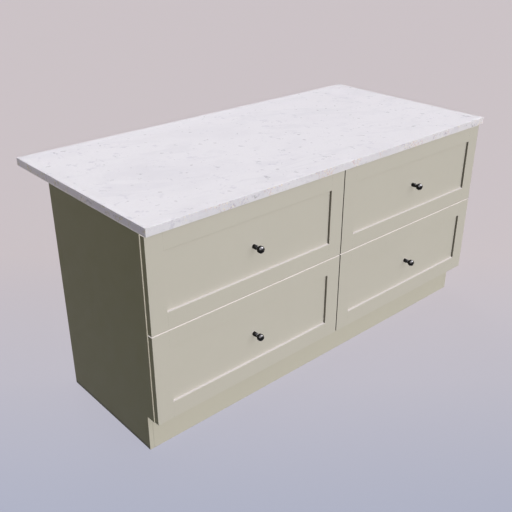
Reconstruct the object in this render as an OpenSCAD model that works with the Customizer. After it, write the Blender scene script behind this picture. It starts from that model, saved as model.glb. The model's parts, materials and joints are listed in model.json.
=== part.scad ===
// Kitchen island with a stone worktop and four wide drawers on full-extension runners.
// Millimetres. Origin: on the floor, at the middle of the cabinet's footprint.
// +X runs along the island to its right end, +Y from the drawer faces to the back, +Z up.

/* [Cabinet] */
// Width over the two end panels
cabinet_w = 1800; // [1500:10:2400]
// Depth from the drawer faces to the finished back
cabinet_d = 600; // [580:5:700]
// Height from the floor to the underside of the worktop
cabinet_h = 870; // [820:5:960]
// Thickness of the end panels, carcass boards, plinth and finished back
board_t = 18; // [16:1:22]
// Thickness of the two thin unit backs
unit_back_t = 8; // [6:1:10]
// Width of the rails across the top of each unit
top_rail_w = 100; // [70:5:140]

/* [Toe kick] */
// Height of the toe kick under the drawers
toe_h = 150; // [110:5:160]
// Setback of the plinth face behind the drawer faces
toe_d = 64; // [50:1:90]
// Length of each leg of the plinth brackets
bracket_leg = 40; // [30:1:50]
// Width of the plinth brackets
bracket_w = 40; // [24:1:60]
// Steel thickness of the plinth brackets
bracket_t = 2; // [1.5:0.5:3]
// Distance of the plinth brackets from the middle of their unit
bracket_x = 300; // [200:10:320]

/* [Worktop] */
// Thickness of the stone
top_t = 30; // [20:1:40]
// Overhang in front of the drawer faces
top_front = 15; // [0:1:30]
// Overhang behind the finished back, for seating
top_back = 250; // [0:10:300]
// Width of the small bevel along the worktop's edges
top_bevel = 1.5; // [0.5:0.5:4]

/* [Drawer fronts] */
// Thickness of the stiles and rails
front_t = 22; // [20:1:26]
// Width of the stiles and rails
frame_w = 67; // [50:1:90]
// Depth of the panel's face behind the frame's face
recess_d = 10; // [6:1:10]
// Thickness of the flat panel and of its groove
panel_t = 6; // [5:0.5:7]
// Depth of the groove that holds the panel and the rails' stub tenons
groove_d = 8; // [5:1:12]
// Gap between a front's side edge and the edge of its unit
side_gap = 2.5; // [1.5:0.5:4]
// Gap between the upper and the lower fronts
row_gap = 4; // [2:0.5:6]
// Gap between the upper fronts and the worktop
top_gap = 4; // [2:0.5:8]
// Gap between the closed fronts and the carcass edges
rear_gap = 2; // [1:0.5:4]

/* [Knobs] */
// Diameter of the ball
ball_d = 28; // [22:1:36]
// Reach of the ball's centre in front of the panel it is fixed to
ball_reach = 36; // [32:1:44]
// Diameter of the base
knob_base_d = 17; // [14:0.5:22]
// Length of the base
knob_base_l = 15; // [8:1:16]
// Diameter of the neck between base and ball
neck_d = 10; // [8:0.5:12]
// Diameter of the knob's bolt
knob_bolt_d = 4; // [3:0.5:5]
// Depth that the bolt screws into the knob
knob_bolt_bite = 14; // [8:1:20]

/* [Drawer boxes] */
// Free space between the closed boxes and the unit backs
box_free = 42; // [10:1:120]
// Height of the boxes
box_h = 220; // [140:5:230]
// Height of a box's lower edge above the lower edge of its front
box_lift = 32; // [26:1:50]
// Thickness of the sides, front and back of the boxes
box_t = 15; // [12:1:18]
// Thickness of the base
base_t = 8; // [6:1:10]
// Height of the base above the lower edge of the box
base_lift = 12; // [8:1:20]
// Depth of the groove that holds the base
base_groove = 7; // [4:1:9]
// Number of dovetails at each corner
tails = 5; // [3:1:8]
// Width of a dovetail pin at the outer face
pin_w = 9; // [6:1:14]
// Widening of a dovetail pin towards the inner face
pin_flare = 5; // [2:1:8]

/* [Runners] */
// Thickness of a runner between carcass and box
runner_t = 12.7; // [12:0.1:14]
// Height of a runner
runner_h = 45; // [35:1:53]
// Height of a runner's middle above the lower edge of its box
runner_lift = 70; // [60:5:100]
// Steel thickness of the runner channels
steel_t = 1.2; // [1:0.1:1.5]
// Setback of a runner behind the carcass edges
runner_setback = 2; // [1:0.5:6]
// Length of the box that stays free behind its runners
runner_free = 6; // [2:1:30]
// Distance of the runners' screws from the ends of a runner
runner_screw_inset = 40; // [30:5:80]

/* [Fasteners] */
// Diameter of the wood screws
screw_d = 4; // [3:0.5:4.5]
// Diameter of the wood screws' heads
screw_head_d = 8; // [7:0.5:10]
// Height of the pan heads
screw_head_t = 2.5; // [2:0.5:3]
// Depth that the wood screws reach into the last board
screw_bite = 12; // [8:1:14]
// Distance of the front's screws from the upper and lower edges of the box
front_screw_inset = 44; // [30:2:60]
// Distance of the bracket screws from the face that the bracket's other leg is on
bracket_screw_at = 24; // [16:1:28]
// Diameter of the knob bolt's head
knob_bolt_head_d = 8; // [7:0.5:12]
// Diameter of the carcass dowels
dowel_d = 8; // [6:1:10]
// Depth of the dowels in the upright boards
dowel_in_side = 12; // [8:1:14]
// Depth of the dowels in the ends of the level boards
dowel_in_board = 20; // [14:1:30]
// Distance of the outer dowels from the front and rear edges of a base board
dowel_inset = 66; // [40:2:100]
// Distance of the dowels from the edges of a top rail
rail_dowel_inset = 25; // [12:1:34]
// Diameter of the sleeves that join the two units
connector_d = 8; // [5:1:10]
// Diameter of the connectors' heads
connector_head_d = 15; // [12:1:18]
// Thickness of the connectors' heads
connector_head_t = 2; // [1:0.5:4]
// Distance of the connectors from the edges of the inner sides
connector_inset = 45; // [30:5:80]

/* [Clearances] */
// Gap around parts that slide or seat in a groove
slide_clear = 0.3; // [0.2:0.05:0.5]
// Gap around the shanks of screws, dowels and bolts
shank_clear = 0.05; // [0.05:0.05:0.2]

/* [Hidden] */
$fn = 48;

LEFT = -1;
RIGHT = 1;
LOWER = 0;
UPPER = 1;
PAIR = [LEFT, RIGHT];
// Each drawer: the end of its node names, the unit it is in and its row
DRAWERS = [
    ["top_left", LEFT, UPPER], ["top_right", RIGHT, UPPER],
    ["bottom_left", LEFT, LOWER], ["bottom_right", RIGHT, LOWER]
];
FIXED = [
    "worktop", "end_panel_left", "end_panel_right", "inner_side_left", "inner_side_right",
    "base_board_left", "base_board_right", "top_rails", "unit_backs", "back_panel", "plinth",
    "plinth_brackets", "cabinet_runners", "carcass_dowels", "connector_bolts", "carcass_screws"
];
MOVING = [
    "front_stiles", "front_rails", "front_panel", "knob", "drawer_screws", "box_sides",
    "box_front", "box_back", "box_base", "drawer_runners", "middle_runners"
];

PAINT = [0.74, 0.72, 0.67];
STONE = [0.90, 0.89, 0.91];
BIRCH = [0.84, 0.73, 0.56];
STEEL = [0.70, 0.71, 0.73];
DARK_METAL = [0.12, 0.12, 0.13];
eps = 0.01; // overcut of holes and grooves past a face
cut = 1;    // overcut of notches past an edge

// Places along Y, from the drawer faces to the back
face_y = -cabinet_d / 2;
rear_y = cabinet_d / 2;
box_y = face_y + front_t;
carcass_y = box_y + rear_gap;
plinth_y = face_y + toe_d;
plinth_rear_y = plinth_y + board_t;
finish_y = rear_y - board_t;
thin_back_y = finish_y - unit_back_t;
groove_y0 = face_y + recess_d;
groove_y1 = groove_y0 + panel_t;

// Places along Z, and the units across the width
base_top_z = toe_h + board_t;
rail_z = cabinet_h - board_t;
unit_w = cabinet_w / 2;
bay_w = unit_w - 2 * board_t;
bay_edge = cabinet_w / 2 - board_t;

// Drawer fronts
front_w = unit_w - 2 * side_gap;
front_h = (cabinet_h - toe_h - row_gap - top_gap) / 2;
opening_w = front_w - 2 * frame_w;

// Drawer boxes, measured from the front's middle and lower edge. The front's screws go midway
// between the inner face of a box side and the inner edge of a stile.
box_d = thin_back_y - box_free - box_y;
box_w = bay_w - 2 * runner_t;
box_inner_w = box_w - 2 * box_t;
pin_pitch = box_h / tails;
front_screw_x = (opening_w / 2 + box_inner_w / 2) / 2;
front_screw_z = [box_lift + front_screw_inset, box_lift + box_h - front_screw_inset];

// Runners: three nested channels, each a clearance inside the one before
runner_y = carcass_y + runner_setback;
runner_l = box_y + box_d - runner_free - runner_y;
runner_z = box_lift + runner_lift;
middle_h = runner_h - 2 * (steel_t + slide_clear);
inner_h = middle_h - 2 * (steel_t + slide_clear);
middle_at = steel_t + slide_clear;
inner_at = middle_at + steel_t + slide_clear;
runner_screw_y = [runner_y + runner_screw_inset, runner_y + runner_l - runner_screw_inset];

// Carcass fasteners
dowel_y = [carcass_y + dowel_inset, (carcass_y + thin_back_y) / 2, thin_back_y - dowel_inset];
rail_dowel = [rail_dowel_inset, top_rail_w - rail_dowel_inset];
base_dowel_z = toe_h + board_t / 2;
rail_dowel_z = cabinet_h - board_t / 2;
connector_y = [carcass_y + connector_inset, thin_back_y - connector_inset];
connector_z = [base_top_z + connector_inset, rail_z - connector_inset];

// ---- helpers ----

// A box given by its lowest and highest corners
module block(low, high) {
    translate(low) cube(high - low);
}

// Child placed at a unit's middle and at the lower edge of one row of fronts
module at_drawer(d) {
    translate([d[1] * unit_w / 2, 0, toe_h + d[2] * (front_h + row_gap)]) children();
}

// Round rod or hole along +X, +Y or +Z from a point
module rod_x(at, d, l) { translate(at) rotate([0, 90, 0]) cylinder(d = d, h = l); }
module rod_y(at, d, l) { translate(at) rotate([-90, 0, 0]) cylinder(d = d, h = l); }
module rod_z(at, d, l) { translate(at) cylinder(d = d, h = l); }

// Countersunk screw along +X from the face of a steel channel, or the hole for it
module runner_screw(at, side, clear = 0) {
    translate(at) rotate([0, side * 90, 0]) {
        cylinder(d1 = screw_head_d + 2 * clear, d2 = screw_d + 2 * clear, h = steel_t);
        cylinder(d = screw_d + 2 * clear, h = steel_t + screw_bite + clear);
    }
}

// ---- worktop ----

// Profile with small bevels, drawn from its middle
module bevelled(w, h) {
    x = w / 2;
    y = h / 2;
    b = top_bevel;
    polygon([[-x + b, -y], [x - b, -y], [x, -y + b], [x, y - b],
             [x - b, y], [-x + b, y], [-x, y - b], [-x, -y + b]]);
}

module worktop() {
    top_d = cabinet_d + top_front + top_back;
    color(STONE)
        translate([0, (top_back - top_front) / 2, cabinet_h + top_t / 2])
            intersection() {
                rotate([90, 0, 0]) linear_extrude(top_d, center = true) bevelled(cabinet_w, top_t);
                rotate([90, 0, 90]) linear_extrude(cabinet_w, center = true) bevelled(top_d, top_t);
                linear_extrude(top_t, center = true) bevelled(cabinet_w, top_d);
            }
}

// ---- carcass ----

// Upright board with a toe notch, from x0 to x1
module upright(x0, x1, notch_y, back_y) {
    difference() {
        block([x0, carcass_y, 0], [x1, back_y, cabinet_h]);
        block([x0 - cut, carcass_y - cut, -cut], [x1 + cut, notch_y, toe_h]);
    }
}

// Holes in one upright's face for dowels and runner screws; side is the way they point
module upright_holes(face_x, side) {
    for (y = dowel_y) dowel_hole([face_x, y, base_dowel_z], side, dowel_in_side);
    for (y = rail_ends()) dowel_hole([face_x, y, rail_dowel_z], side, dowel_in_side);
    for (d = DRAWERS) for (y = runner_screw_y)
        if (d[1] == LEFT) screw_hole([face_x, y, toe_h + d[2] * (front_h + row_gap) + runner_z], side);
}

// Y of the dowels in the front rail and the rear rail
function rail_ends() = concat(
    [for (r = rail_dowel) carcass_y + r], [for (r = rail_dowel) thin_back_y - r]);

module dowel_hole(at, side, depth) {
    translate(at) rotate([0, side * 90, 0])
        translate([0, 0, -eps]) cylinder(d = dowel_d + 2 * shank_clear, h = depth + eps);
}

module screw_hole(at, side) {
    translate(at) rotate([0, side * 90, 0])
        translate([0, 0, -eps]) cylinder(d = screw_d + 2 * shank_clear, h = screw_bite + shank_clear + eps);
}

module end_panel(side) {
    edge = side * cabinet_w / 2;
    inner = side * bay_edge;
    color(PAINT) difference() {
        upright(min(edge, inner), max(edge, inner), plinth_y, rear_y);
        upright_holes(inner, side);
    }
}

module inner_side(side) {
    color(PAINT) difference() {
        upright(min(0, side * board_t), max(0, side * board_t), plinth_rear_y, thin_back_y);
        upright_holes(side * board_t, -side);
        for (y = connector_y) for (z = connector_z)
            rod_x([-board_t - cut, y, z], connector_d + 2 * shank_clear, 2 * (board_t + cut));
    }
}

// Level board between an end panel and an inner side, with dowel holes in both ends
module level_board(side, y0, y1, z0, ys) {
    x0 = side > 0 ? board_t : -bay_edge;
    x1 = x0 + bay_w;
    difference() {
        block([x0, y0, z0], [x1, y1, z0 + board_t]);
        for (y = ys) {
            dowel_hole([x0, y, z0 + board_t / 2], RIGHT, dowel_in_board);
            dowel_hole([x1, y, z0 + board_t / 2], LEFT, dowel_in_board);
        }
    }
}

module base_board(side) {
    color(PAINT) difference() {
        level_board(side, carcass_y, thin_back_y, toe_h, dowel_y);
        for (x = bracket_xs()) if (x * side > 0)
            rod_z([x, bracket_screw_y(), toe_h - eps], screw_d + 2 * shank_clear, screw_bite + eps);
    }
}

module top_rails() {
    color(PAINT) for (side = PAIR) {
        level_board(side, carcass_y, carcass_y + top_rail_w, rail_z,
                    [for (r = rail_dowel) carcass_y + r]);
        level_board(side, thin_back_y - top_rail_w, thin_back_y, rail_z,
                    [for (r = rail_dowel) thin_back_y - r]);
    }
}

module unit_backs() {
    color(PAINT) {
        block([-bay_edge, thin_back_y, toe_h], [-slide_clear / 2, finish_y, cabinet_h]);
        block([slide_clear / 2, thin_back_y, toe_h], [bay_edge, finish_y, cabinet_h]);
    }
}

module back_panel() {
    color(PAINT) block([-bay_edge, finish_y, 0], [bay_edge, rear_y, cabinet_h]);
}

// ---- toe kick ----

// Middles of the plinth brackets across the width
function bracket_xs() = [for (side = PAIR) for (place = PAIR) side * unit_w / 2 + place * bracket_x];
// Screws through the level legs and through the upright legs
function bracket_screw_y() = plinth_rear_y + bracket_screw_at;
function bracket_screw_z() = toe_h - bracket_screw_at;

module plinth() {
    color(PAINT) difference() {
        block([-bay_edge, plinth_y, 0], [bay_edge, plinth_rear_y, toe_h]);
        for (x = bracket_xs())
            rod_y([x, plinth_rear_y - screw_bite, bracket_screw_z()],
                  screw_d + 2 * shank_clear, screw_bite + eps);
    }
}

module plinth_brackets() {
    hole = screw_d + 2 * shank_clear;
    color(STEEL) for (x = bracket_xs()) difference() {
        union() {
            block([x - bracket_w / 2, plinth_rear_y, toe_h - bracket_leg],
                  [x + bracket_w / 2, plinth_rear_y + bracket_t, toe_h]);
            block([x - bracket_w / 2, plinth_rear_y, toe_h - bracket_t],
                  [x + bracket_w / 2, plinth_rear_y + bracket_leg, toe_h]);
        }
        rod_y([x, plinth_rear_y - cut, bracket_screw_z()], hole, bracket_t + 2 * cut);
        rod_z([x, bracket_screw_y(), toe_h - bracket_t - cut], hole, bracket_t + 2 * cut);
    }
}

// ---- runners ----

// Channel along Y: web at web_x, flanges towards side, down the length of a runner
module channel(web_x, side, h, flange) {
    lip = side * flange;
    difference() {
        block([min(web_x, web_x + lip), runner_y, runner_z - h / 2],
              [max(web_x, web_x + lip), runner_y + runner_l, runner_z + h / 2]);
        block([min(web_x + side * steel_t, web_x + lip + side * cut), runner_y - cut,
               runner_z - h / 2 + steel_t],
              [max(web_x + side * steel_t, web_x + lip + side * cut), runner_y + runner_l + cut,
               runner_z + h / 2 - steel_t]);
    }
}

// Width of a channel's flanges: all stop short of the next web or the box
function flange_w() = runner_t - inner_at - slide_clear;

module cabinet_runners() {
    color(STEEL) for (d = DRAWERS) at_drawer(d) for (side = PAIR) {
        wall = side * bay_w / 2;
        difference() {
            channel(wall, -side, runner_h, flange_w());
            for (y = runner_screw_y)
                runner_screw([wall - side * steel_t, y, runner_z], side, shank_clear);
        }
    }
}

module middle_runners() {
    color(STEEL) for (side = PAIR)
        channel(side * (bay_w / 2 - middle_at), -side, middle_h, flange_w());
}

module drawer_runners() {
    color(STEEL) for (side = PAIR) {
        wall = side * box_w / 2;
        difference() {
            channel(wall, side, inner_h, flange_w());
            for (y = runner_screw_y)
                runner_screw([wall + side * steel_t, y, runner_z], -side, shank_clear);
        }
    }
}

// ---- carcass fasteners ----

module dowel(x, y, z, side) {
    l = dowel_in_side + dowel_in_board - 2 * slide_clear;
    rod_x([x + side * (dowel_in_side - dowel_in_board) / 2 - l / 2, y, z], dowel_d, l);
}

module carcass_dowels() {
    color(BIRCH) for (side = PAIR) for (face = PAIR) {
        x = side * unit_w / 2 + face * bay_w / 2;
        for (y = dowel_y) dowel(x, y, base_dowel_z, face);
        for (y = rail_ends()) dowel(x, y, rail_dowel_z, face);
    }
}

module connector_bolts() {
    color(STEEL) for (y = connector_y) for (z = connector_z) {
        rod_x([-board_t, y, z], connector_d, 2 * board_t);
        rod_x([-board_t - connector_head_t, y, z], connector_head_d, connector_head_t);
        rod_x([board_t, y, z], connector_head_d, connector_head_t);
    }
}

module carcass_screws() {
    color(STEEL) {
        for (d = DRAWERS) at_drawer(d) for (side = PAIR) for (y = runner_screw_y)
            runner_screw([side * (bay_w / 2 - steel_t), y, runner_z], side);
        for (x = bracket_xs()) {
            reach = bracket_t + screw_bite - shank_clear;
            rod_y([x, plinth_rear_y + bracket_t - reach, bracket_screw_z()], screw_d, reach);
            rod_y([x, plinth_rear_y + bracket_t, bracket_screw_z()], screw_head_d, screw_head_t);
            rod_z([x, bracket_screw_y(), toe_h - bracket_t], screw_d, reach);
            rod_z([x, bracket_screw_y(), toe_h - bracket_t - screw_head_t], screw_head_d, screw_head_t);
        }
    }
}

// ---- drawer fronts, drawn from the front's middle and lower edge ----

module front_stiles() {
    color(PAINT) for (side = PAIR) {
        outer = side * front_w / 2;
        inner = side * opening_w / 2;
        groove = side * (opening_w / 2 + groove_d);
        difference() {
            block([min(outer, inner), face_y, 0], [max(outer, inner), face_y + front_t, front_h]);
            block([min(inner - side, groove), groove_y0, -cut],
                  [max(inner - side, groove), groove_y1, front_h + cut]);
            for (z = front_screw_z)
                rod_y([side * front_screw_x, face_y + front_t - screw_bite - shank_clear, z],
                      screw_d + 2 * shank_clear, screw_bite + shank_clear + eps);
        }
    }
}

module front_rails() {
    color(PAINT) for (z0 = [0, front_h - frame_w]) {
        inner = z0 == 0 ? frame_w : front_h - frame_w;
        reach = z0 == 0 ? -groove_d : groove_d;
        difference() {
            union() {
                block([-opening_w / 2, face_y, z0], [opening_w / 2, face_y + front_t, z0 + frame_w]);
                block([-opening_w / 2 - groove_d + slide_clear, groove_y0, z0],
                      [opening_w / 2 + groove_d - slide_clear, groove_y1, z0 + frame_w]);
            }
            block([-front_w / 2, groove_y0, min(inner + reach, inner - sign(reach) * cut)],
                  [front_w / 2, groove_y1, max(inner + reach, inner - sign(reach) * cut)]);
        }
    }
}

module front_panel() {
    grip = groove_d - slide_clear;
    color(PAINT) difference() {
        block([-opening_w / 2 - grip, groove_y0, frame_w - grip],
              [opening_w / 2 + grip, groove_y1, front_h - frame_w + grip]);
        rod_y([0, groove_y0 - cut, front_h / 2], knob_bolt_d + 2 * shank_clear, panel_t + 2 * cut);
    }
}

module knob() {
    color(DARK_METAL) translate([0, groove_y0, front_h / 2]) rotate([90, 0, 0]) difference() {
        union() {
            cylinder(d = knob_base_d, h = knob_base_l);
            translate([0, 0, knob_base_l])
                cylinder(d1 = knob_base_d, d2 = neck_d, h = (knob_base_d - neck_d) / 2);
            cylinder(d = neck_d, h = ball_reach);
            translate([0, 0, ball_reach]) sphere(d = ball_d);
        }
        translate([0, 0, -eps])
            cylinder(d = knob_bolt_d + 2 * shank_clear, h = knob_bolt_bite + shank_clear + eps);
    }
}

// Four screws that hold the front, the knob's bolt and the screws of the drawer's runner members
module drawer_screws() {
    reach = box_t + screw_bite;
    color(STEEL) {
        for (side = PAIR) for (z = front_screw_z) {
            rod_y([side * front_screw_x, box_y + box_t - reach, z], screw_d, reach);
            rod_y([side * front_screw_x, box_y + box_t, z], screw_head_d, screw_head_t);
        }
        rod_y([0, groove_y0 - knob_bolt_bite, front_h / 2], knob_bolt_d, knob_bolt_bite + panel_t);
        rod_y([0, groove_y1, front_h / 2], knob_bolt_head_d, screw_head_t);
        for (side = PAIR) for (y = runner_screw_y)
            runner_screw([side * (box_w / 2 + steel_t), y, runner_z], -side);
    }
}

// ---- drawer boxes, drawn from the front's middle and lower edge ----

// Dovetail pins at one end of the box, through both sides; flare is the way the pins widen
module pins(outer_y, flare) {
    inner_y = outer_y + flare * box_t;
    a = pin_w / 2;
    b = (pin_w + pin_flare) / 2;
    intersection() {
        for (i = [0 : tails]) translate([0, 0, box_lift + i * pin_pitch])
            rotate([90, 0, 90]) linear_extrude(box_w, center = true)
                polygon([[outer_y, -a], [inner_y, -b], [inner_y, b], [outer_y, a]]);
        block([-box_w / 2, face_y, box_lift], [box_w / 2, rear_y, box_lift + box_h]);
    }
}

// The base's outline, with a clearance above it and at its edges
module base_space(side_clear, top_clear) {
    x = box_inner_w / 2 + base_groove + side_clear;
    block([-x, box_y + box_t - base_groove - side_clear, box_lift + base_lift],
          [x, box_y + box_d - box_t + base_groove + side_clear,
           box_lift + base_lift + base_t + top_clear]);
}

module box_sides() {
    color(BIRCH) difference() {
        for (side = PAIR)
            block([min(side * box_w, side * box_inner_w) / 2, box_y, box_lift],
                  [max(side * box_w, side * box_inner_w) / 2, box_y + box_d, box_lift + box_h]);
        pins(box_y, 1);
        pins(box_y + box_d, -1);
        base_space(0, slide_clear);
        for (side = PAIR) for (y = runner_screw_y)
            screw_hole([side * box_w / 2, y, runner_z], -side);
    }
}

// Board between the sides with its pins
module end_board(y0, outer_y, flare) {
    union() {
        block([-box_inner_w / 2, y0, box_lift], [box_inner_w / 2, y0 + box_t, box_lift + box_h]);
        pins(outer_y, flare);
    }
}

module box_front() {
    color(BIRCH) difference() {
        end_board(box_y, box_y, 1);
        base_space(0, slide_clear);
        for (side = PAIR) for (z = front_screw_z)
            rod_y([side * front_screw_x, box_y - cut, z], screw_d + 2 * shank_clear, box_t + 2 * cut);
    }
}

module box_back() {
    y0 = box_y + box_d - box_t;
    color(BIRCH) difference() {
        end_board(y0, box_y + box_d, -1);
        base_space(0, slide_clear);
    }
}

module box_base() {
    color(BIRCH) base_space(-slide_clear, 0);
}

// ---- everything, one named piece at a time ----

worktop();
end_panel(LEFT);  // end_panel_left
end_panel(RIGHT);  // end_panel_right
inner_side(LEFT);  // inner_side_left
inner_side(RIGHT);  // inner_side_right
base_board(LEFT);  // base_board_left
base_board(RIGHT);  // base_board_right
top_rails();
unit_backs();
back_panel();
plinth();
plinth_brackets();
cabinet_runners();
carcass_dowels();
connector_bolts();
carcass_screws();

for (d = DRAWERS) {
    at_drawer(d) front_stiles();
    at_drawer(d) front_rails();
    at_drawer(d) front_panel();
    at_drawer(d) knob();
    at_drawer(d) drawer_screws();
    at_drawer(d) box_sides();
    at_drawer(d) box_front();
    at_drawer(d) box_back();
    at_drawer(d) box_base();
    at_drawer(d) drawer_runners();
    at_drawer(d) middle_runners();
}
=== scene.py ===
"""Looks of a kitchen island: a stone worktop on a painted cabinet, four drawers and their ball knobs.

Metres, in the part's own frame: +X along the island, +Y from the drawer faces to the back, +Z up.
"""

import json
import math

import bmesh
import bpy
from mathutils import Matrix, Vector


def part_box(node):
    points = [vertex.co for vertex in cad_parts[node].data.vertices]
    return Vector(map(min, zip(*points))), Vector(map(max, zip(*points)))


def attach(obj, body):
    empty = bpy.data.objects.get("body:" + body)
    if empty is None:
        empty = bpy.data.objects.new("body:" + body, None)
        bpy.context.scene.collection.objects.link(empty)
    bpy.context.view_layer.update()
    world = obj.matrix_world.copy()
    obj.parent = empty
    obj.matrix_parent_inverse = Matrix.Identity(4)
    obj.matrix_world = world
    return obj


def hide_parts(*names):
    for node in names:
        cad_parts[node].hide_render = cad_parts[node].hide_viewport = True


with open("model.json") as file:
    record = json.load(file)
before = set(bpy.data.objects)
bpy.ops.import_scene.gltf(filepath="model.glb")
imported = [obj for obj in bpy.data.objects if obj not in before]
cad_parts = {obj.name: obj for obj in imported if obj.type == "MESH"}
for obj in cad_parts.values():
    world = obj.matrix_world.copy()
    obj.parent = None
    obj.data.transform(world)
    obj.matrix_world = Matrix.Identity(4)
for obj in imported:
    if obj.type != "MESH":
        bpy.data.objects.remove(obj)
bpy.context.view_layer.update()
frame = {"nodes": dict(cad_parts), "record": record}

MM = 0.001
X, Y, Z = 0, 1, 2
DRAWERS = ("top_left", "top_right", "bottom_left", "bottom_right")
RECORD = frame["record"]
# Each node's material slot and its body
SLOT = {part["node"]: part["material_slot"] for part in RECORD["subparts"]}
BODY = {node: body for body, nodes in RECORD["behaviour"]["bodies"].items() for node in nodes}

# ---- camera, lamps and surroundings ----

CAMERA_AT = (-1.91155, -1.93963, 1.75944)
CAMERA_YAW = 41.742     # degrees from +Y towards +X
CAMERA_PITCH = -26.723  # degrees above the horizon
CAMERA_LENS = 49.43     # mm
SENSOR = 36             # mm wide

# Each lamp: the direction towards it, the light that it throws on a face square to it, where 1 shows
# a colour as it is written, and the angle in degrees that it spans
KEY_LAMP = ((0.22, -0.82, 0.53), 0.21, 50)
FILL_LAMP = ((0.344, -0.563, 0.752), 1.215, 20)
BACK_LAMP = ((0.30, 0.94, 0.14), 0.68, 45)
BACK_FILL = ((0.30, 0.95, 0.0), 0.38, 20)
# Two lamps from above for the knobs' highlights, and a weak lilac one for the slab's left end
KNOB_LAMPS = (((0.52, -0.20, 0.83), 15.0, 60), ((-0.50, -0.30, 0.81), 8.0, 80))
KNOB_LAMP_TINT = (0.97, 0.94, 1.0)
STONE_LAMP = ((-1.0, 0.0, 0.0), 0.125, 30)
STONE_LAMP_TINT = (0.72, 0.64, 1.0)
AMBIENT = 0.144           # light from all round, on the lamps' scale
AMBIENT_TINT = (0.99, 1.04, 0.90)

FLOOR_RADIUS = 40.0
FLOOR_SIDES = 96
FLOOR_DROP = 0.2 * MM     # below the part, so that the two faces don't coincide
FLOOR_GLOW = 0.72         # share of the floor's colour that shadow doesn't take away
FLOOR_LIT = 1.3           # light on the floor, by which its colour is divided
FLOOR_BOUNCE = (0.07, 0.07, 0.006, 1.0)   # the floor's albedo for light that it sends back to the part
# Ground distance from the camera's foot, along its view, where each floor colour lies
FLOOR_NEAR, FLOOR_MIDDLE, FLOOR_FAR = 1.67, 2.36, 3.5
FLOOR_FADE = (1.5, 3.2)   # distance from the part's origin over which the floor takes its far colour


def rgb(red, green, blue):
    """A colour written in 0 to 255 sRGB, as the linear RGBA that sockets take."""
    def linear(value):
        value /= 255
        return value / 12.92 if value <= 0.04045 else ((value + 0.055) / 1.055) ** 2.4
    return (linear(red), linear(green), linear(blue), 1.0)


def scaled(colour, factor):
    """A linear colour made lighter or darker."""
    return tuple(channel * factor for channel in colour[:3]) + (1.0,)


PALE_NEAR = rgb(178, 181, 199)
PALE_MIDDLE = rgb(193, 190, 201)
PALE_FAR = rgb(204, 195, 199)
CEILING = rgb(228, 225, 232)
# Height of a direction, as a sine, over which the backdrop turns into the ceiling
CEILING_FROM, CEILING_TO = 0.10, 0.24


class Tree:
    """A node tree with one short call for each kind of node.

    Patterns take their place from object coordinates in metres, so they move with the piece.
    """

    def __init__(self, owner):
        owner.use_nodes = True
        self.tree = owner.node_tree
        self.tree.nodes.clear()

    def add(self, kind, inputs=(), out=0, **settings):
        """A new node's output, or the node if it has none.

        inputs gives values or links by the socket's name or number.
        """
        made = self.tree.nodes.new("ShaderNode" + kind)
        for name, value in settings.items():
            setattr(made, name, value)
        for key, value in dict(inputs).items():
            if isinstance(value, bpy.types.NodeSocket):
                self.tree.links.new(value, made.inputs[key])
            else:
                made.inputs[key].default_value = value
        return made.outputs[out] if len(made.outputs) else made

    def place(self, stretch, turn):
        """Object coordinates for a pattern: stretched along its axes, then turned by degrees about Z."""
        at = self.add("TexCoord", out="Object")
        turned_by = (0, 0, math.radians(turn))
        return self.add("Mapping", {"Vector": at, "Rotation": turned_by, "Scale": stretch},
                        vector_type="TEXTURE")

    def noise(self, size, stretch=(1, 1, 1), turn=0, detail=2.0, roughness=0.5, warp=0.0):
        """Noise from 0 to 1 with features about size metres across."""
        return self.add("TexNoise", {"Vector": self.place(stretch, turn), "Scale": 1 / size,
                                     "Detail": detail, "Roughness": roughness, "Distortion": warp})

    def math(self, operation, a, b=0.0):
        return self.add("Math", {0: a, 1: b}, operation=operation)

    def times(self, product, *factors):
        """The product of two or more values."""
        for factor in factors:
            product = self.math("MULTIPLY", product, factor)
        return product

    def ramp(self, value, low, high, to_low=0.0, to_high=1.0):
        """value from low to high, carried over to to_low to to_high and kept between them."""
        return self.add("MapRange", {"Value": value, "From Min": low, "From Max": high,
                                     "To Min": to_low, "To Max": to_high})

    def mix(self, share, a, b, **settings):
        """Colour a, with a share of colour b from 0 to 1."""
        return self.add("Mix", {0: share, 6: a, 7: b}, out=2, data_type="RGBA", **settings)

    def normal(self, axis):
        """How far a face looks along an axis, from -1 to 1."""
        return self.add("SeparateXYZ", {0: self.add("NewGeometry", out="Normal")}, out=axis)

    def facing(self, axis):
        """1 on faces square to an axis, whichever way they look, and 0 on faces along it."""
        return self.math("ABSOLUTE", self.normal(axis))

    def arris(self, radius):
        """1 on sharp edges, 0 away from them."""
        rounded = self.add("Bevel", {"Radius": radius}, samples=6)
        straight = self.add("NewGeometry", out="Normal")
        alike = self.add("VectorMath", {0: rounded, 1: straight}, out="Value", operation="DOT_PRODUCT")
        return self.ramp(alike, 0.99, 0.85)

    def bump(self, height, depth):
        """The normal of a relief: height 1 stands depth metres above height 0."""
        return self.add("Bump", {"Height": height, "Distance": depth, "Strength": 1.0})

    def surface(self, **inputs):
        """The tree's principled shader. Words in a socket's name are joined by underscores here."""
        named = {key.replace("_", " "): value for key, value in inputs.items()}
        shader = self.add("BsdfPrincipled", named)
        self.add("OutputMaterial", {"Surface": shader})

    def seen(self):
        """1 for rays from the camera, off gloss or through glass; 0 for rays that light the part."""
        camera, glossy, through = (self.add("LightPath", out=f"Is {kind} Ray")
                                   for kind in ("Camera", "Glossy", "Transmission"))
        return self.math("MAXIMUM", self.math("MAXIMUM", camera, glossy), through)


def material(name):
    """A new material and its empty tree."""
    made = bpy.data.materials.new(name)
    return made, Tree(made)


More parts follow.
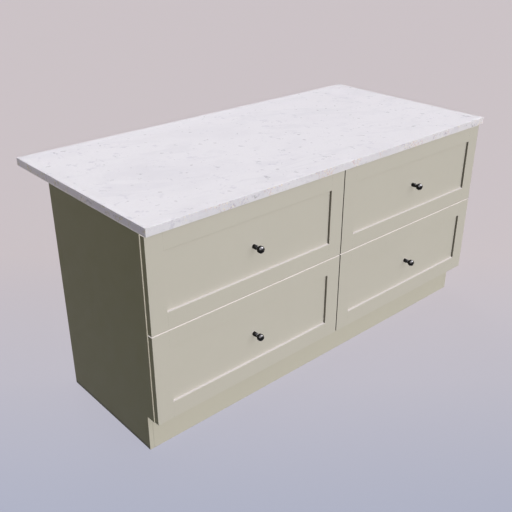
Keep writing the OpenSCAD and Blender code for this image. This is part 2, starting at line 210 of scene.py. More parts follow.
def camera():
    """The scene's camera, at the photograph's viewpoint."""
    data = bpy.data.cameras.new("camera")
    data.lens = CAMERA_LENS
    data.sensor_width = SENSOR
    data.clip_end = 3 * FLOOR_RADIUS
    made = bpy.data.objects.new("camera", data)
    made.location = CAMERA_AT
    made.rotation_euler = (math.radians(90 + CAMERA_PITCH), 0, math.radians(-CAMERA_YAW))
    bpy.context.scene.collection.objects.link(made)
    bpy.context.scene.camera = made


def lamp(name, toward, light, spread, shadows=True, tint=(1.0, 1.0, 1.0)):
    """A soft distant lamp. It lights surfaces, but makes no highlight on them: see shine()."""
    data = bpy.data.lights.new(name, "SUN")
    data.energy = light * math.pi
    data.angle = math.radians(spread)
    data.use_shadow = shadows
    data.color = tint
    made = bpy.data.objects.new(name, data)
    made.rotation_euler = Vector(toward).to_track_quat("Z", "Y").to_euler()
    made.visible_glossy = False
    bpy.context.scene.collection.objects.link(made)
    return made


def light_only(made, pieces):
    """Keeps a lamp's light on some pieces."""
    lit = bpy.data.collections.new(made.name)
    for piece in pieces:
        lit.objects.link(piece)
    made.light_linking.receiver_collection = lit


def shine(name, toward, light, spread, pieces):
    """A soft distant lamp that makes only the highlights on some polished pieces."""
    made = lamp(name, toward, light, spread, tint=KNOB_LAMP_TINT)
    made.visible_diffuse = False
    made.visible_glossy = True
    light_only(made, pieces)


def surroundings():
    """Weak light from all round. The camera and gloss see a pale backdrop and a ceiling instead."""
    world = bpy.data.worlds.new("studio")
    bpy.context.scene.world = world
    tree = Tree(world)
    ambient = tuple(AMBIENT * tint for tint in AMBIENT_TINT) + (1.0,)
    height = tree.add("SeparateXYZ", {0: tree.add("TexCoord", out="Generated")}, out=Z)
    backdrop = tree.mix(tree.ramp(height, CEILING_FROM, CEILING_TO), PALE_FAR, CEILING)
    colour = tree.mix(tree.seen(), ambient, backdrop)
    light = tree.add("Background", {"Color": colour, "Strength": 1.0})
    tree.add("OutputWorld", {"Surface": light})


def floor_finish():
    """A plain finish whose colour runs from bluish near the camera to pinkish behind the part."""
    made, tree = material("studio_floor")
    yaw = math.radians(CAMERA_YAW)
    view = (math.sin(yaw), math.cos(yaw), 0)
    foot = Vector(CAMERA_AT).dot(Vector(view))
    place = tree.add("TexCoord", out="Object")
    along = tree.add("VectorMath", {0: place, 1: view}, out="Value", operation="DOT_PRODUCT")
    distance = tree.math("SUBTRACT", along, foot)
    near = tree.mix(tree.ramp(distance, FLOOR_NEAR, FLOOR_MIDDLE), PALE_NEAR, PALE_MIDDLE)
    colour = tree.mix(tree.ramp(distance, FLOOR_MIDDLE, FLOOR_FAR), near, PALE_FAR)
    away = tree.add("VectorMath", {0: place}, out="Value", operation="LENGTH")
    colour = tree.mix(tree.ramp(away, *FLOOR_FADE), colour, PALE_FAR)
    grain = tree.ramp(tree.noise(4 * MM, detail=3), 0.3, 0.7, 0.995, 1.005)
    colour = tree.mix(1.0, colour, grain, blend_type="MULTIPLY")
    lit = tree.add("VectorMath", {0: colour, "Scale": 1 / FLOOR_LIT}, operation="SCALE")
    shaded = tree.add("BsdfDiffuse", {"Color": lit})
    glow = tree.add("Emission", {"Color": colour, "Strength": 1.0})
    shown = tree.add("MixShader", {0: FLOOR_GLOW, 1: shaded, 2: glow})
    bounce = tree.add("BsdfDiffuse", {"Color": FLOOR_BOUNCE})
    tree.add("OutputMaterial", {"Surface": tree.add("MixShader", {0: tree.seen(), 1: bounce, 2: shown})})
    return made


def floor():
    """A wide round floor just under the part."""
    bm = bmesh.new()
    bmesh.ops.create_circle(bm, cap_ends=True, segments=FLOOR_SIDES, radius=FLOOR_RADIUS)
    bmesh.ops.translate(bm, verts=bm.verts, vec=(0, 0, -FLOOR_DROP))
    mesh = bpy.data.meshes.new("studio_floor")
    bm.to_mesh(mesh)
    bm.free()
    mesh.materials.append(floor_finish())
    made = bpy.data.objects.new("studio_floor", mesh)
    bpy.context.scene.collection.objects.link(made)


# ---- finishes ----

# Painted light on the slab's cut faces: how much lighter than its top, along its front and back and at
# its ends
PAINTED_LIGHT_LONG, PAINTED_LIGHT_END = (1.19, 1.19, 1.21, 1.0), (1.25, 1.25, 1.42, 1.0)


def quartz_grain(tree):
    """The stone's colour: pale, with lilac clouds and veins, soft flecks and small grey grains."""
    pale, cloud = rgb(207, 204, 210), rgb(196, 193, 201)
    fleck, grain = rgb(176, 172, 186), rgb(130, 131, 131)

    drift = tree.noise(0.22, stretch=(2.0, 1, 1), turn=-15, detail=4, roughness=0.6, warp=0.5)
    colour = tree.mix(tree.ramp(drift, 0.49, 0.64, 0, 0.5), pale, cloud)

    # A vein runs where its noise passes one level, and is broken in places
    vein = tree.noise(0.26, stretch=(2.6, 1, 1), turn=-20, detail=3, warp=0.9)
    off_vein = tree.math("ABSOLUTE", tree.math("SUBTRACT", vein, 0.53))
    broken = tree.ramp(tree.noise(0.12, detail=3), 0.42, 0.56)
    colour = tree.mix(tree.times(tree.ramp(off_vein, 0.008, 0.035, 0.65, 0), broken), colour, cloud)

    mottle = tree.noise(9 * MM, stretch=(1.6, 1, 1), turn=10, detail=4, roughness=0.7)
    colour = tree.mix(tree.ramp(mottle, 0.46, 0.68, 0, 0.35), colour, cloud)

    # The flecks point two ways, and the mottle roughens their rims
    rough_rim = tree.times(tree.math("SUBTRACT", mottle, 0.5), 0.44)
    along = tree.math("ADD", tree.noise(40 * MM, stretch=(1.4, 1, 1), turn=-34), rough_rim)
    across = tree.math("ADD", tree.noise(31 * MM, stretch=(1.8, 1, 1), turn=-74), rough_rim)
    flecks = tree.math("MAXIMUM", tree.ramp(along, 0.67, 0.75), tree.ramp(across, 0.65, 0.72))
    patchy = tree.ramp(tree.noise(0.27), 0.40, 0.56, 0.35, 0.8)
    colour = tree.mix(tree.times(flecks, patchy), colour, fleck)

    # The grains are what is left of the flecks' cores where they split
    cores = tree.times(tree.ramp(across, 0.68, 0.75), tree.ramp(tree.noise(0.16, detail=1), 0.46, 0.54))
    split = tree.ramp(tree.noise(6 * MM), 0.42, 0.56)
    return tree.mix(tree.times(cores, split, 0.8), colour, grain)


def quartz_cut(tree, colour):
    """The stone's colour with painted light on its cut faces, and with clusters of chips and crumbs in
    them.
    """
    lilac, rose = rgb(158, 148, 170), rgb(196, 174, 178)
    olive, cream = rgb(178, 174, 148), rgb(228, 218, 186)
    cut = tree.ramp(tree.facing(Z), 0.7, 0.3)
    at_end = tree.ramp(tree.facing(X), 0.6, 0.8)
    cluster = tree.times(tree.ramp(tree.noise(60 * MM), 0.50, 0.60), cut)

    chips = tree.ramp(tree.noise(6.5 * MM, roughness=0.6), 0.54, 0.60)
    chip = tree.mix(tree.ramp(tree.noise(90 * MM), 0.48, 0.56), lilac, rose)
    chip = tree.mix(at_end, chip, olive)
    colour = tree.mix(tree.times(chips, cluster, 0.9), colour, chip)

    crumbs = tree.ramp(tree.noise(5.5 * MM, detail=1), 0.60, 0.66)
    colour = tree.mix(tree.times(crumbs, cluster, 0.8), colour, cream)
    # Painted light: the cut faces are made lighter than the top, and bluer at the ends
    return tree.mix(cut, colour, tree.mix(at_end, PAINTED_LIGHT_LONG, PAINTED_LIGHT_END), blend_type="MULTIPLY")


def quartz():
    """Polished pale quartz: faintly translucent, under a clear and slightly wavy polish."""
    made, tree = material("white_quartz")
    gloss = tree.ramp(tree.noise(30 * MM, detail=4), 0.3, 0.7, 0.27, 0.34)
    waves = tree.bump(tree.noise(20 * MM), 0.02 * MM)
    tree.surface(Base_Color=quartz_cut(tree, quartz_grain(tree)), Roughness=gloss, Normal=waves,
                 Subsurface_Weight=0.3, Subsurface_Radius=(1.0, 1.0, 1.0), Subsurface_Scale=14 * MM,
                 Coat_Weight=1.0, Coat_IOR=1.9, Coat_Roughness=0.12)
    return made


def paint(name, colour):
    """Satin paint: fine stipple, clouding, worn arrises, painted shade in corners, dust and painted
    light on ledges.
    """
    made, tree = material(name)
    clouding = tree.ramp(tree.noise(0.30, detail=4, roughness=0.6), 0.3, 0.7)
    tone = tree.mix(clouding, scaled(colour, 0.99), scaled(colour, 1.01))
    smear = tree.ramp(tree.noise(30 * MM, detail=4, roughness=0.65), 0.35, 0.75, 0, 0.35)
    tone = tree.mix(smear, tone, scaled(colour, 0.97))
    wear = tree.ramp(tree.noise(12 * MM, detail=4), 0.40, 0.62, 0.2, 0.8)
    tone = tree.mix(tree.times(tree.arris(0.9 * MM), wear, 0.4), tone, scaled(colour, 1.08))

    # Painted shade darkens the sheltered corners of faces that look sideways. Dust lies on faces that
    # look up, with a painted tint of the light from above, and painted light makes it paler in tight
    # gaps.
    open_to_air = tree.add("AmbientOcclusion", {"Distance": 20 * MM}, out="AO", samples=8)
    # Painted shade: faces that look sideways darken where they are sheltered
    painted_shade = tree.times(tree.ramp(tree.facing(X), 0.6, 0.9), tree.ramp(open_to_air, 0.95, 0.65), 0.9)
    tone = tree.mix(painted_shade, tone, scaled(colour, 0.28))
    settled = tree.ramp(tree.noise(20 * MM, detail=4), 0.3, 0.6, 0.6, 0.8)
    # Dust on faces that look up, with a cooler tint that is painted light from above
    dust_and_top_tint = tree.times(tree.ramp(tree.normal(Z), 0.6, 0.9), settled)
    # Painted light: paler in tight gaps, where shade falls
    dust_and_gap_light_colour = tree.mix(tree.ramp(open_to_air, 0.5, 0.3), rgb(190, 184, 187), rgb(224, 217, 219))
    tone = tree.mix(dust_and_top_tint, tone, dust_and_gap_light_colour)

    stipple = tree.noise(1.4 * MM, roughness=0.6)
    swell = tree.times(tree.noise(9 * MM), 2.0)
    relief = tree.bump(tree.math("ADD", stipple, swell), 0.03 * MM)
    gloss = tree.ramp(tree.noise(50 * MM, detail=4), 0.3, 0.7, 0.44, 0.54)
    tree.surface(Base_Color=tone, Roughness=gloss, Normal=relief, Specular_IOR_Level=0.25)
    return made


def foil_board():
    """Matt grey carcass board with a fine printed linen weave."""
    made, tree = material("foil_board")
    colour = rgb(196, 192, 184)
    thread, drawn_out = 0.6 * MM, 18
    warp = tree.noise(thread, stretch=(1, drawn_out, drawn_out))
    weft = tree.noise(thread, stretch=(drawn_out, drawn_out, 1))
    weave = tree.math("ADD", warp, weft)
    tone = tree.mix(tree.ramp(weave, 0.8, 1.2), scaled(colour, 0.95), scaled(colour, 1.03))
    tree.surface(Base_Color=tone, Roughness=0.55, Normal=tree.bump(weave, 0.02 * MM))
    return made


def wood(name, along, light, dark, ring=18 * MM, gloss=0.38):
    """Clear lacquered wood with its grain along one axis, and end grain on its ends."""
    made, tree = material(name)

    def drawn_out(length):
        """The stretch of a pattern that is length times longer along the grain than across it."""
        return [length if axis == along else 1.0 for axis in (X, Y, Z)]
    rings = tree.noise(ring, stretch=drawn_out(9.0), detail=3, roughness=0.55, warp=0.5)
    bands = tree.math("FRACT", tree.times(rings, 7.0))
    bands = tree.ramp(tree.math("ABSOLUTE", tree.math("SUBTRACT", bands, 0.5)), 0.0, 0.5)
    pores = tree.noise(0.5 * MM, stretch=drawn_out(30.0), detail=3, roughness=0.6)
    tone = tree.mix(tree.ramp(bands, 0.1, 0.9, 0.0, 0.55), light, dark)
    tone = tree.mix(tree.ramp(pores, 0.55, 0.75, 0, 0.45), tone, scaled(dark, 0.8))
    dots = tree.noise(0.7 * MM, detail=3, roughness=0.7)
    end_tone = tree.mix(tree.ramp(dots, 0.4, 0.65), scaled(dark, 0.86), scaled(dark, 0.62))
    tone = tree.mix(tree.ramp(tree.facing(along), 0.6, 0.8), tone, end_tone)
    relief = tree.bump(tree.math("ADD", pores, tree.times(bands, 0.5)), 0.03 * MM)
    rough = tree.ramp(pores, 0.3, 0.7, gloss, gloss + 0.12)
    tree.surface(Base_Color=tone, Roughness=rough, Normal=relief)
    return made


def zinc():
    """Bright zinc plate: a rolled sheen along the runners, with faint clouds and fine scratches."""
    made, tree = material("zinc_plate")
    clouds = tree.noise(20 * MM, detail=4, roughness=0.65)
    drawn = tree.noise(0.25 * MM, stretch=(1, 60, 1))
    tone = tree.mix(tree.ramp(clouds, 0.35, 0.7), rgb(205, 208, 213), rgb(194, 197, 201))
    tone = tree.mix(tree.ramp(tree.noise(50 * MM), 0.6, 0.75, 0, 0.2), tone, rgb(206, 201, 184))
    tone = tree.mix(tree.ramp(drawn, 0.35, 0.65, 0, 0.3), tone, rgb(170, 173, 178))
    rough = tree.math("ADD", tree.ramp(clouds, 0.3, 0.7, 0.24, 0.29), tree.ramp(drawn, 0.3, 0.7, 0, 0.1))
    tree.surface(Base_Color=tone, Metallic=1.0, Roughness=rough, Normal=tree.bump(drawn, 0.01 * MM))
    return made


def black_lacquer():
    """Black lacquered metal with a soft shine, faint haze and hairline marks."""
    made, tree = material("black_lacquer")
    haze = tree.noise(6 * MM, detail=4, roughness=0.6)
    hairs = tree.noise(0.15 * MM, stretch=(1, 1, 25))
    tone = tree.mix(tree.ramp(haze, 0.35, 0.7), rgb(11, 11, 10), rgb(19, 18, 17))
    rough = tree.math("ADD", tree.ramp(haze, 0.3, 0.7, 0.24, 0.29), tree.ramp(hairs, 0.5, 0.8, 0, 0.06))
    tree.surface(Base_Color=tone, Roughness=rough, Normal=tree.bump(hairs, 0.003 * MM),
                 Specular_IOR_Level=0.15)
    return made


FRONT_PAINT = rgb(191, 186, 178)
# The front paint made a little darker and yellower: painted shade on the end panels, plinth and back
# panel
SHADED_BOARD_PAINT = rgb(188, 183, 172)
BIRCH = rgb(213, 196, 167), rgb(192, 170, 136)
BIRCH_PLY = rgb(208, 192, 164), rgb(190, 170, 137)
BEECH = rgb(212, 184, 150), rgb(190, 156, 118)

# By material slot, but the drawer boxes have one finish for boards along X and one for boards along Y
FINISH = {
    "stone_top": quartz(),
    "painted_front": paint("satin_paint_fronts", FRONT_PAINT),
    "painted_board": paint("satin_paint_boards", SHADED_BOARD_PAINT),
    "carcass_board": foil_board(),
    "box_wood_x": wood("birch_across", X, *BIRCH),
    "box_wood_y": wood("birch_lengthwise", Y, *BIRCH),
    "box_base_ply": wood("birch_ply", X, *BIRCH_PLY, ring=50 * MM, gloss=0.45),
    "dowel_wood": wood("raw_beech", X, *BEECH, ring=6 * MM, gloss=0.6),
    "zinc_steel": zinc(),
    "dark_metal": black_lacquer(),
}

# ---- pieces ----

WELD = 0.001 * MM          # places nearer than this are one place
DECIMALS = 5               # of a metre, to which the levels of corners are told apart
FLAT = math.radians(0.5)   # faces that bend less than this where they meet are one flat face
SHARP = math.radians(40)   # an edge sharper than this is an arris, and not part of a round
ALIGNED = 0.9999           # a face with a normal this near an axis is one of a board's flat faces

# Radius of the arrises on each kind of piece
POLISHED_ARRIS, SAWN_ARRIS = 1.0 * MM, 0.3 * MM
PAINTED_ARRIS, JOINT_ARRIS = 0.45 * MM, 0.1 * MM
FOIL_ARRIS, BOX_ARRIS = 0.3 * MM, 0.7 * MM
RUNNER_ARRIS, BRACKET_ARRIS = 0.35 * MM, 0.3 * MM
# The shortest edge that is rounded: longer than those round a bore, or than those of a dovetail
PAST_BORES, PAST_DOVETAILS = 8 * MM, 60 * MM


def finish_of(node):
    """The material of a node; a drawer box's grain runs along its boards."""
    slot = SLOT[node]
    if slot == "box_wood":
        slot += "_y" if node.startswith("box_sides") else "_x"
    return FINISH[slot]


def place_piece(name, mesh, node):
    """A visible piece that stands for a CAD node, on its body and with its finish."""
    mesh.materials.clear()
    mesh.materials.append(finish_of(node))
    piece = bpy.data.objects.new(name, mesh)
    bpy.context.scene.collection.objects.link(piece)
    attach(piece, BODY[node])
    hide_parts(node)
    return piece


def cad_shape(node):
    """A CAD node's shape with its triangles joined into whole flat faces."""
    bm = bmesh.new()
    source = frame["nodes"][node].data
    corners = [bm.verts.new(v.co) for v in source.vertices]
    for face in source.polygons:
        bm.faces.new([corners[i] for i in face.vertices])
    bmesh.ops.remove_doubles(bm, verts=bm.verts, dist=WELD)
    bmesh.ops.dissolve_limit(bm, angle_limit=FLAT, verts=bm.verts, edges=bm.edges)
    return bm


def round_arrises(bm, name, radius_of, segments=3):
    """Rounds a shape's sharp outer edges. radius_of(edge) gives each one's radius in metres, or 0."""
    weight = bm.edges.layers.float.new("bevel_weight_edge")
    sharp = [e for e in bm.edges if len(e.link_faces) == 2 and e.calc_face_angle_signed(0) > SHARP]
    radii = {edge: radius_of(edge) for edge in sharp}
    widest = max(radii.values(), default=0)
    for edge, radius in radii.items():
        edge[weight] = radius / widest if widest else 0
    mesh = bpy.data.meshes.new(name)
    bm.to_mesh(mesh)
    bm.free()
    if widest > 0:
        mesh = bevelled(mesh, name, widest, segments)
    smooth_rounds(mesh)
    return mesh


def bevelled(mesh, name, width, segments):
    """The mesh with a weighted bevel applied."""
    holder = bpy.data.objects.new(name + "_raw", mesh)
    bpy.context.scene.collection.objects.link(holder)
    bevel = holder.modifiers.new("round", "BEVEL")
    bevel.limit_method = "WEIGHT"
    bevel.width = width
    bevel.segments = segments
    bevel.use_clamp_overlap = True
    depsgraph = bpy.context.evaluated_depsgraph_get()
    made = bpy.data.meshes.new_from_object(holder.evaluated_get(depsgraph))
    bpy.data.objects.remove(holder)
    made.name = name
    return made


def smooth_rounds(mesh):
    """Flat shading on the flat faces of a board, smooth shading on its rounded edges and bores."""
    mesh.set_sharp_from_angle(angle=SHARP)
    for face in mesh.polygons:
        face.use_smooth = max(abs(c) for c in face.normal) < ALIGNED


def eased_board(node, radius, least, segments=3):
    """A board with its edges rounded that are longer than least metres and don't meet the worktop."""
    under_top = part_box("worktop")[0].z - WELD

    def radius_of(edge):
        covered = min(v.co.z for v in edge.verts) > under_top
        return 0 if covered or edge.calc_length() < least else radius
    place_piece(node + "_eased", round_arrises(cad_shape(node), node, radius_of, segments), node)


def worktop():
    """The slab with a polished arris round its top, and finer ones at its corners and underneath."""
    low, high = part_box("worktop")
    bm = bmesh.new()
    bmesh.ops.create_cube(bm, size=1)
    bmesh.ops.scale(bm, vec=high - low, verts=bm.verts)
    bmesh.ops.translate(bm, vec=(low + high) / 2, verts=bm.verts)

    def radius_of(edge):
        lowest = min(v.co.z for v in edge.verts)
        return SAWN_ARRIS if lowest < low.z + WELD else POLISHED_ARRIS
    mesh = round_arrises(bm, "worktop", radius_of, segments=4)
    return place_piece("worktop_slab", mesh, "worktop")


def face_levels(node, axis):
    """The different coordinates along an axis of the corners on a node's front face."""
    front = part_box(node)[0].y
    corners = [v.co for v in frame["nodes"][node].data.vertices]
    return sorted({round(corner[axis], DECIMALS) for corner in corners if corner.y < front + WELD})


def drawer_front(drawer):
    """Stiles and rails with rounded arrises, but near-sharp where they meet, and the flat panel."""
    stiles, rails, panel = (f"front_{part}_{drawer}" for part in ("stiles", "rails", "panel"))
    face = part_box(stiles)[0].y
    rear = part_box(stiles)[1].y
    _, recess_bottom, recess_top, _ = face_levels(rails, Z)
    _, recess_left, recess_right, _ = face_levels(stiles, X)

    def on_faces(edge):
        return all(min(abs(v.co.y - face), abs(v.co.y - rear)) < WELD for v in edge.verts)

    def stile_radius(edge):
        if not on_faces(edge):
            return 0
        a, b = (v.co for v in edge.verts)
        middle = (a + b) / 2
        inside = min(abs(middle.x - recess_left), abs(middle.x - recess_right)) < WELD
        if not inside:
            return PAINTED_ARRIS
        in_recess = recess_bottom < middle.z < recess_top and abs(middle.y - face) < WELD
        return PAINTED_ARRIS if in_recess else JOINT_ARRIS

    def rail_radius(edge):
        if not on_faces(edge):
            return 0
        a, b = (v.co for v in edge.verts)
        return JOINT_ARRIS if abs(a.x - b.x) < WELD else PAINTED_ARRIS

    # The stiles' inner edges are cut at the rails, because their arris changes there
    bm = cad_shape(stiles)
    for level in (recess_bottom, recess_top):
        every = list(bm.verts) + list(bm.edges) + list(bm.faces)
        bmesh.ops.bisect_plane(bm, geom=every, dist=WELD, plane_co=(0, 0, level), plane_no=(0, 0, 1))
    place_piece(stiles + "_eased", round_arrises(bm, stiles, stile_radius), stiles)
    place_piece(rails + "_eased", round_arrises(cad_shape(rails), rails, rail_radius), rails)
    place_piece(panel + "_board", round_arrises(cad_shape(panel), panel, lambda edge: 0), panel)


# ---- turned pieces ----

# Knob: radii but for the base's length and the bore's depth
KNOB_BASE_LENGTH = 14.5 * MM
KNOB_FOOT_ROUND, KNOB_SHOULDER_ROUND = 0.7 * MM, 1.05 * MM
KNOB_NECK, KNOB_SWEEP = 6.4 * MM, 2.6 * MM
KNOB_BORE, KNOB_BORE_DEPTH = 2.05 * MM, 14.05 * MM
KNOB_STEPS = 48
# Degrees on their arcs: where the sweep leaves the shoulder, and the ball's last ring before its tip
SWEEP_START, BALL_END = 230, 89


def turned(bm, profile, at, axis, steps, shape=None):
    """Adds a solid of revolution to a shape.

    profile lists (radius, place along the axis), and starts and ends on the axis. shape, if given,
    changes a profile point's radius and place with its angle.
    """
    across = axis.orthogonal().normalized()
    beside = axis.cross(across)
    rings = []
    for i, (radius, along) in enumerate(profile):
        if i and math.dist(profile[i], profile[i - 1]) < WELD:
            continue
        if radius <= WELD:
            rings.append([bm.verts.new(at + axis * along)])
            continue
        ring = []
        for step in range(steps):
            angle = math.tau * step / steps
            r, h = shape(radius, along, angle) if shape else (radius, along)
            outward = across * math.cos(angle) + beside * math.sin(angle)
            ring.append(bm.verts.new(at + axis * h + outward * r))
        rings.append(ring)
    for a, b in zip(rings, rings[1:]):
        for i in range(steps):
            j = (i + 1) % steps
            corners = [a[i % len(a)], a[j % len(a)], b[j % len(b)], b[i % len(b)]]
            bm.faces.new(list(dict.fromkeys(corners)))


def arc(centre, radius, start, end, steps):
    """Points (radius, place) on an arc, by degrees from the outward direction towards the tip."""
    points = []
    for i in range(steps + 1):
        angle = math.radians(start + (end - start) * i / steps)
        points.append((centre[0] + radius * math.cos(angle), centre[1] + radius * math.sin(angle)))
    return points


def finished_turning(bm, name):
    """The mesh of turned solids, smooth but for their sharp edges."""
    bmesh.ops.recalc_face_normals(bm, faces=bm.faces)
    mesh = bpy.data.meshes.new(name)
    bm.to_mesh(mesh)
    bm.free()
    mesh.polygons.foreach_set("use_smooth", [True] * len(mesh.polygons))
    mesh.set_sharp_from_angle(angle=SHARP)
    return mesh


def ring_radius(node, y):
    """Largest distance from a node's middle line along Y to its corners at one place."""
    low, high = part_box(node)
    middle = (low + high) / 2
    near = [v.co for v in frame["nodes"][node].data.vertices if abs(v.co.y - y) < WELD]
    return max(math.hypot(p.x - middle.x, p.z - middle.z) for p in near)


def knob(drawer):
    """Base with softened rims, a neck that sweeps into the ball, and the bore for the bolt."""
    node = "knob_" + drawer
    low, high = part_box(node)
    middle = (low + high) / 2
    ball = (high.z - low.z) / 2
    reach = high.y - low.y - ball
    base = ring_radius(node, high.y)
    foot, shoulder = KNOB_FOOT_ROUND, KNOB_SHOULDER_ROUND
    # The sweep's arc touches the neck and the ball
    outer = KNOB_NECK + KNOB_SWEEP
    height = math.sqrt((ball + KNOB_SWEEP) ** 2 - outer ** 2)
    touch = math.degrees(math.atan2(height, outer))
    # The bore, the foot, the shoulder, the sweep from the shoulder, and the ball up to its tip
    profile = [(0, KNOB_BORE_DEPTH), (KNOB_BORE, KNOB_BORE_DEPTH), (KNOB_BORE, 0)]
    profile += arc((base - foot, foot), foot, -90, 0, 4)
    profile += arc((base - shoulder, KNOB_BASE_LENGTH - shoulder), shoulder, 0, 90, 6)
    profile += arc((outer, reach - height), KNOB_SWEEP, SWEEP_START, 180 - touch, 10)
    profile += arc((0, reach), ball, -touch, BALL_END, 28) + [(0, reach + ball)]
    bm = bmesh.new()
    turned(bm, profile, Vector((middle.x, high.y, middle.z)), Vector((0, -1, 0)), KNOB_STEPS)
    return place_piece(node + "_turned", finished_turning(bm, node), node)


# ---- fasteners ----

FASTENER_STEPS = 16
THREAD_PITCH, THREAD_DEPTH = 1.6 * MM, 0.45 * MM
THREAD_RINGS = 4             # rings for each turn of the thread
THREAD_GAP = 1.0 * MM        # plain shank between a screw's head and its thread
HEAD_FACE = 0.02 * MM        # a head's face lies this far inside the CAD one
CONE_EDGE = 0.05 * MM        # the edge of a countersunk head is this much smaller than the CAD one
# Shares of the head's radius: the cross recess's arms, half their width, and the rings of the face
CROSS_REACH, CROSS_WIDTH = 0.62, 0.17
FACE_RINGS = (0.2, 0.36, 0.5, 0.62, 0.7)
CROSS_RISE = 0.6             # share of its depth that the recess loses towards its arms' ends
# Shares of the head's height: the depth of a screw's and of a sleeve's recess, and the round of the rim
SCREW_RECESS, SLEEVE_RECESS, HEAD_ROUND = 0.55, 0.45, 0.5
# Shares of the shank's radius: the point's length, and its last ring's radius and place before the tip
POINT_LENGTH, TIP_RADIUS, TIP_LENGTH = 2.2, 0.3, 0.4
DOWEL_FLUTES, FLUTE_STEPS = 12, 4
FLUTE_DEPTH, DOWEL_CHAMFER = 0.35 * MM, 1.2 * MM


def islands(node):
    """The corners of each loose solid in a CAD node."""
    bm = cad_shape(node)
    seen = set()
    found = []
    for first in bm.verts:
        if first in seen:
            continue
        seen.add(first)
        group, reach = [], [first]
        while reach:
            vert = reach.pop()
            group.append(vert.co.copy())
            near = [edge.other_vert(vert) for edge in vert.link_edges]
            new = [other for other in near if other not in seen]
            seen.update(new)
            reach += new
        found.append(group)
    bm.free()
    return found


def rod(corners):
    """A CAD rod's head end, the way that it points, and its stations along that way.

    A station is (distance from the head, least radius, greatest radius). The head is the wider end.
    """
    low = Vector([min(c[i] for c in corners) for i in (X, Y, Z)])
    high = Vector([max(c[i] for c in corners) for i in (X, Y, Z)])
    axis = max((X, Y, Z), key=lambda i: high[i] - low[i])
    middle = (low + high) / 2
    radii = {}
    for corner in corners:
        out = corner - middle
        out[axis] = 0
        radii.setdefault(round(corner[axis], DECIMALS), []).append(out.length)
    stations = [(place, min(found), max(found)) for place, found in sorted(radii.items())]
    way = 1
    if stations[-1][2] > stations[0][2] + WELD:
        stations.reverse()
        way = -1
    head = stations[0][0]
    start = middle.copy()
    start[axis] = head
    toward = Vector([way if i == axis else 0 for i in (X, Y, Z)])
    return start, toward, [(abs(place - head), least, most) for place, least, most in stations]


def recessed(head, depth):
    """The middle of a screw's face with a cross recess: profile points, and how they turn."""
    reach, width = CROSS_REACH * head, CROSS_WIDTH * head

    def shape(radius, along, angle):
        off_arm = min(abs(math.sin(angle)), abs(math.cos(angle))) * radius
        if along > HEAD_FACE + WELD or radius > reach or off_arm > width:
            return radius, along
        return radius, along + depth * (1 - CROSS_RISE * radius / reach)
    middle = [(0, HEAD_FACE + depth)] + [(share * head, HEAD_FACE) for share in FACE_RINGS]
    return middle, shape


def pan_rim(head, under, shank):
    """Profile points round a pan head's rim and in under it to the shank."""
    rim = HEAD_ROUND * under
    return arc((head - rim, HEAD_FACE + rim), rim, -90, 0, 4) + [(head, under), (shank, under)]


def threaded(radius, start, end):
    """Profile points along a thread, and how they turn into its helix."""
    count = max(2, round((end - start) / THREAD_PITCH * THREAD_RINGS))
    points = [(radius, start + (end - start) * i / count) for i in range(count + 1)]

    def shape(r, along, angle):
        if not start <= along <= end:
            return r, along
        phase = (along / THREAD_PITCH - angle / math.tau) % 1
        fade = min(1, (along - start) / THREAD_PITCH)
        return r - THREAD_DEPTH * fade * abs(2 * phase - 1), along
    return points, shape


def screw(bm, start, toward, stations):
    """A screw: a pan head, or a countersunk one where the CAD head is a cone, a thread and a point."""
    (_, _, head), (under, _, under_radius), (length, _, _) = stations
    shank = min(least for _, least, _ in stations)
    middle, recess = recessed(head, SCREW_RECESS * under)
    thread, helix = threaded(shank, under + THREAD_GAP, length - POINT_LENGTH * shank)
    if under_radius > shank + WELD:
        rim = pan_rim(head, under, shank)
    else:
        rim = [(head - CONE_EDGE, HEAD_FACE), (shank, under)]
    point = [(TIP_RADIUS * shank, length - TIP_LENGTH * shank), (0, length)]

    def shape(radius, along, angle):
        if along < under:
            return recess(radius, along, angle)
        return helix(radius, along, angle)
    turned(bm, middle + rim + thread + point, start, toward, FASTENER_STEPS, shape)


def sleeve(bm, start, toward, stations):
    """A connector: a sleeve with a domed head at each end, each with a cross recess."""
    (_, _, head), (under, _, _), _, (length, _, _) = stations
    shaft = min(least for _, least, _ in stations)
    middle, recess = recessed(head, SLEEVE_RECESS * under)
    half = middle + pan_rim(head, under, shaft)
    profile = half + [(r, length - along) for r, along in reversed(half)]

    def shape(radius, along, angle):
        if along <= length / 2:
            return recess(radius, along, angle)
        r, back = recess(radius, length - along, angle)
        return r, length - back
    turned(bm, profile, start, toward, FASTENER_STEPS, shape)


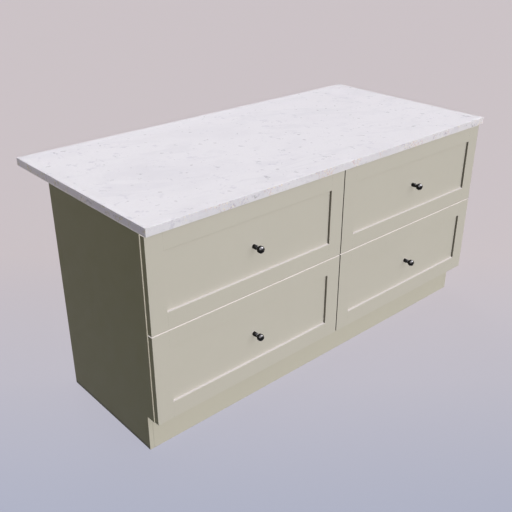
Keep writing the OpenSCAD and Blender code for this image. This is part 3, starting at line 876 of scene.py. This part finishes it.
def dowel(bm, start, toward, stations):
    """A fluted dowel with chamfered ends."""
    (_, _, radius), (length, _, _) = stations
    end = radius - DOWEL_CHAMFER
    half = [(0, 0), (end, 0), (radius, DOWEL_CHAMFER)]
    profile = half + [(r, length - along) for r, along in reversed(half)]

    def shape(r, along, angle):
        return r - FLUTE_DEPTH * (0.5 - 0.5 * math.cos(DOWEL_FLUTES * angle)), along
    turned(bm, profile, start, toward, FLUTE_STEPS * DOWEL_FLUTES, shape)


# Each kind of fastener by how many stations its CAD rod has
FASTENER = {2: dowel, 3: screw, 4: sleeve}


def fasteners(node):
    """Every rod of a CAD node, made again as the fastener that its stations show."""
    bm = bmesh.new()
    for corners in islands(node):
        start, toward, stations = rod(corners)
        FASTENER[len(stations)](bm, start, toward, stations)
    place_piece(node + "_made", finished_turning(bm, node), node)


# ---- build ----

camera()
lamp("key", *KEY_LAMP)
lamp("fill", *FILL_LAMP, shadows=False)
lamp("back", *BACK_LAMP)
lamp("back_fill", *BACK_FILL, shadows=False)
surroundings()
floor()

slab = worktop()
light_only(lamp("stone", *STONE_LAMP, tint=STONE_LAMP_TINT), [slab])
for node in ("end_panel_left", "end_panel_right", "plinth", "back_panel"):
    eased_board(node, PAINTED_ARRIS, PAST_BORES)
for node in ("inner_side_left", "inner_side_right", "base_board_left", "base_board_right",
             "top_rails", "unit_backs"):
    eased_board(node, FOIL_ARRIS, PAST_BORES, segments=2)
knobs = [knob(drawer) for drawer in DRAWERS]
for drawer in DRAWERS:
    drawer_front(drawer)
    for part in ("box_sides_", "box_front_", "box_back_", "box_base_"):
        eased_board(part + drawer, BOX_ARRIS, PAST_DOVETAILS)
    for part in ("drawer_runners_", "middle_runners_"):
        eased_board(part + drawer, RUNNER_ARRIS, PAST_DOVETAILS, segments=2)
eased_board("cabinet_runners", RUNNER_ARRIS, PAST_DOVETAILS, segments=2)
eased_board("plinth_brackets", BRACKET_ARRIS, PAST_BORES, segments=2)
for node in ("carcass_screws", "connector_bolts", "carcass_dowels"):
    fasteners(node)
for drawer in DRAWERS:
    fasteners("drawer_screws_" + drawer)

for i, knob_lamp in enumerate(KNOB_LAMPS):
    shine(f"knob_lamp_{i}", *knob_lamp, knobs)

bpy.context.scene.view_settings.view_transform = "Standard"
